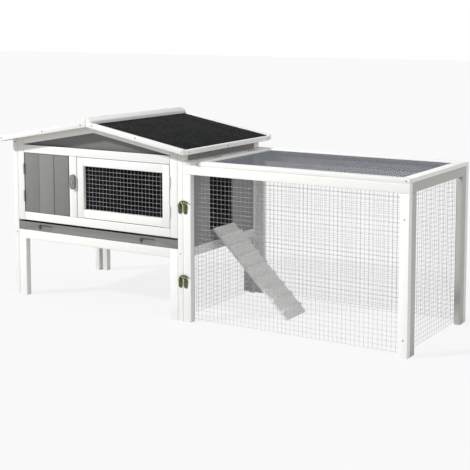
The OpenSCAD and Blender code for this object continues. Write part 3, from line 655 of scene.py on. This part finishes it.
def cross_head_screw():
    """Countersunk screw seen from outside: a flat head with a cross let into it."""
    bpy.ops.object.select_all(action="DESELECT")
    bpy.ops.mesh.primitive_cylinder_add(vertices=20, radius=HEAD_RADIUS, depth=HEAD_THICKNESS)
    head = active()
    bars = []
    for turn in (0.0, math.pi / 2):
        bpy.ops.mesh.primitive_cube_add(size=1, location=(0, 0, HEAD_THICKNESS / 2),
                                        rotation=(0, 0, turn),
                                        scale=(CROSS_LENGTH, CROSS_WIDTH, CROSS_WIDTH))
        bars.append(active())
    cross = join(bars, "cross")
    apply_modifier(head, "BOOLEAN", operation="DIFFERENCE", solver="EXACT", use_self=True,
                   object=cross)
    bpy.data.objects.remove(cross)
    soften(head, HEAD_ARRIS, segments=1, angle=40)
    return settle(head, "screw_pattern", SCREW_STEEL)


def screws(name, body, places, normal, sunk=SUNK):
    """Copies of the screw at several places of one face, each turned at random."""
    turn = Vector(normal).to_track_quat("Z", "Y").to_matrix().to_4x4()
    copies = []
    for place in places:
        screw = SCREW.copy()
        screw.data = SCREW.data.copy()
        link(screw)
        spin = Matrix.Rotation(random.uniform(0, math.pi), 4, "Z")
        sink = Matrix.Translation(at(*place) - Vector(normal) * sunk)
        screw.matrix_world = sink @ turn @ spin
        copies.append(screw)
    piece = settle(join(copies, name), name, SCREW_STEEL)
    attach(piece, body)


SCREW = cross_head_screw()
ROOT = "hutch_and_run"

# Millimetres: the hutch's width, a latch plate's thickness, and the screws' places by their x and
# z on the front and back, and by their y and z at the eaves
HUTCH_WIDTH = 980
LATCH_PLATE = 2.3
FRAME_SCREWS = [(15, 302), (966, 299), (15, 733), (2016, 547), (2016, 71)]
LID_SCREWS = [(1055, 697), (2021, 697)]
RIGHT_VERGE_SCREWS = [(524, 838), (764, 797), (1012, 751)]
LEFT_VERGE_SCREWS = [(458, 838), (230, 799), (-24, 754)]
LATCH_SCREWS = [(966, 484.5), (966, 158.5), (993.3, 484.5), (993.3, 158.5)]
EAVE_SCREWS = [(-3, 745), (304, 745), (656, 745)]


def on_front(places, y):
    """Places on a face that looks forwards or backwards."""
    return [(x, y, z) for x, z in places]


def on_side(places, x):
    """Places on a face that looks sideways."""
    return [(x, y, z) for y, z in places]


for side, y, facing in (("front", 0, -1), ("back", HUTCH_DEPTH, 1)):
    screws(f"{side}_screws", ROOT, on_front(FRAME_SCREWS, y), (0, facing, 0))
screws("lid_front_screws", "run_lid", on_front(LID_SCREWS, 0), (0, -1, 0))
for side, y, facing in (("front", -VERGE_REACH, -1), ("back", HUTCH_DEPTH + VERGE_REACH, 1)):
    screws(f"right_verge_{side}_screws", ROOT, on_front(RIGHT_VERGE_SCREWS, y), (0, facing, 0))
    screws(f"left_verge_{side}_screws", "roof_left", on_front(LEFT_VERGE_SCREWS, y), (0, facing, 0))
screws("right_eave_screws", ROOT, on_side(EAVE_SCREWS, HUTCH_WIDTH + EAVE_REACH), (1, 0, 0))
screws("left_eave_screws", "roof_left", on_side(EAVE_SCREWS, -EAVE_REACH), (-1, 0, 0))
for side, y, facing in (("front", -LATCH_PLATE, -1), ("back", HUTCH_DEPTH + LATCH_PLATE, 1)):
    screws(f"latch_{side}_screws", ROOT, on_front(LATCH_SCREWS, y), (0, facing, 0), sunk=-SUNK)
bpy.data.objects.remove(SCREW)


# Room and light

# The floor's size and drop, its paleness, its share of plain white where it is seen, and the
# world's light
FLOOR_SIZE, FLOOR_DROP = 60, 0.0005
FLOOR_LEVEL = 0.60
FLOOR_GLOW = 0.85
WORLD_LEVEL = 0.48
WHITE = grey(1.0)


def bare_tree(owner):
    """Node tree of the floor's material or of the world, emptied."""
    tree = NodeTree(owner)
    tree.nodes.clear()
    return tree


def seen_ray(tree):
    """One for rays that look straight, by a reflection or through something clear."""
    total = tree.add("ShaderNodeLightPath", output="Is Camera Ray")
    for kind in ("Is Glossy Ray", "Is Transmission Ray"):
        ray = tree.add("ShaderNodeLightPath", output=kind)
        total = tree.add("ShaderNodeMath", {"operation": "ADD", "use_clamp": True},
                         {0: total, 1: ray})
    return total


def lay_floor():
    """White floor that keeps the shadow."""
    bpy.ops.object.select_all(action="DESELECT")
    bpy.ops.mesh.primitive_plane_add(size=FLOOR_SIZE, location=(0, 0, -FLOOR_DROP))
    floor = settle(active(), "floor", bpy.data.materials.new("white_floor"))
    tree = bare_tree(floor.data.materials[0])
    matt = tree.add("ShaderNodeBsdfDiffuse", sockets={"Color": grey(FLOOR_LEVEL)})
    glow = tree.add("ShaderNodeEmission", sockets={"Color": WHITE})
    shown = seen_ray(tree) * FLOOR_GLOW
    surface = tree.add("ShaderNodeMixShader", sockets={0: shown, 1: matt, 2: glow})
    tree.add("ShaderNodeOutputMaterial", sockets={"Surface": surface})


def surround_with_white():
    """World that shows white and lights dimly."""
    world = bpy.data.worlds.new("studio")
    bpy.context.scene.world = world
    tree = bare_tree(world)
    dim = tree.add("ShaderNodeBackground", sockets={"Color": WHITE, "Strength": WORLD_LEVEL})
    white = tree.add("ShaderNodeBackground", sockets={"Color": WHITE})
    surface = tree.add("ShaderNodeMixShader", sockets={0: seen_ray(tree), 1: dim, 2: white})
    tree.add("ShaderNodeOutputWorld", sockets={"Surface": surface})


def hang_sun(name, energy, softness, direction):
    """Distant lamp that shines along a direction; softness is its width in degrees."""
    sun = bpy.data.lights.new(name, "SUN")
    sun.energy = energy
    sun.angle = math.radians(softness)
    lamp = link(bpy.data.objects.new(name, sun))
    lamp.rotation_euler = Vector(direction).to_track_quat("-Z", "Y").to_euler()


lay_floor()
surround_with_white()
hang_sun("soft_sun", energy=3.14, softness=5, direction=(0.574, 0.568, -0.589))
hang_sun("side_fill", energy=0.74, softness=60, direction=(-0.98, 0.08, -0.16))
bpy.context.scene.view_settings.view_transform = "Standard"
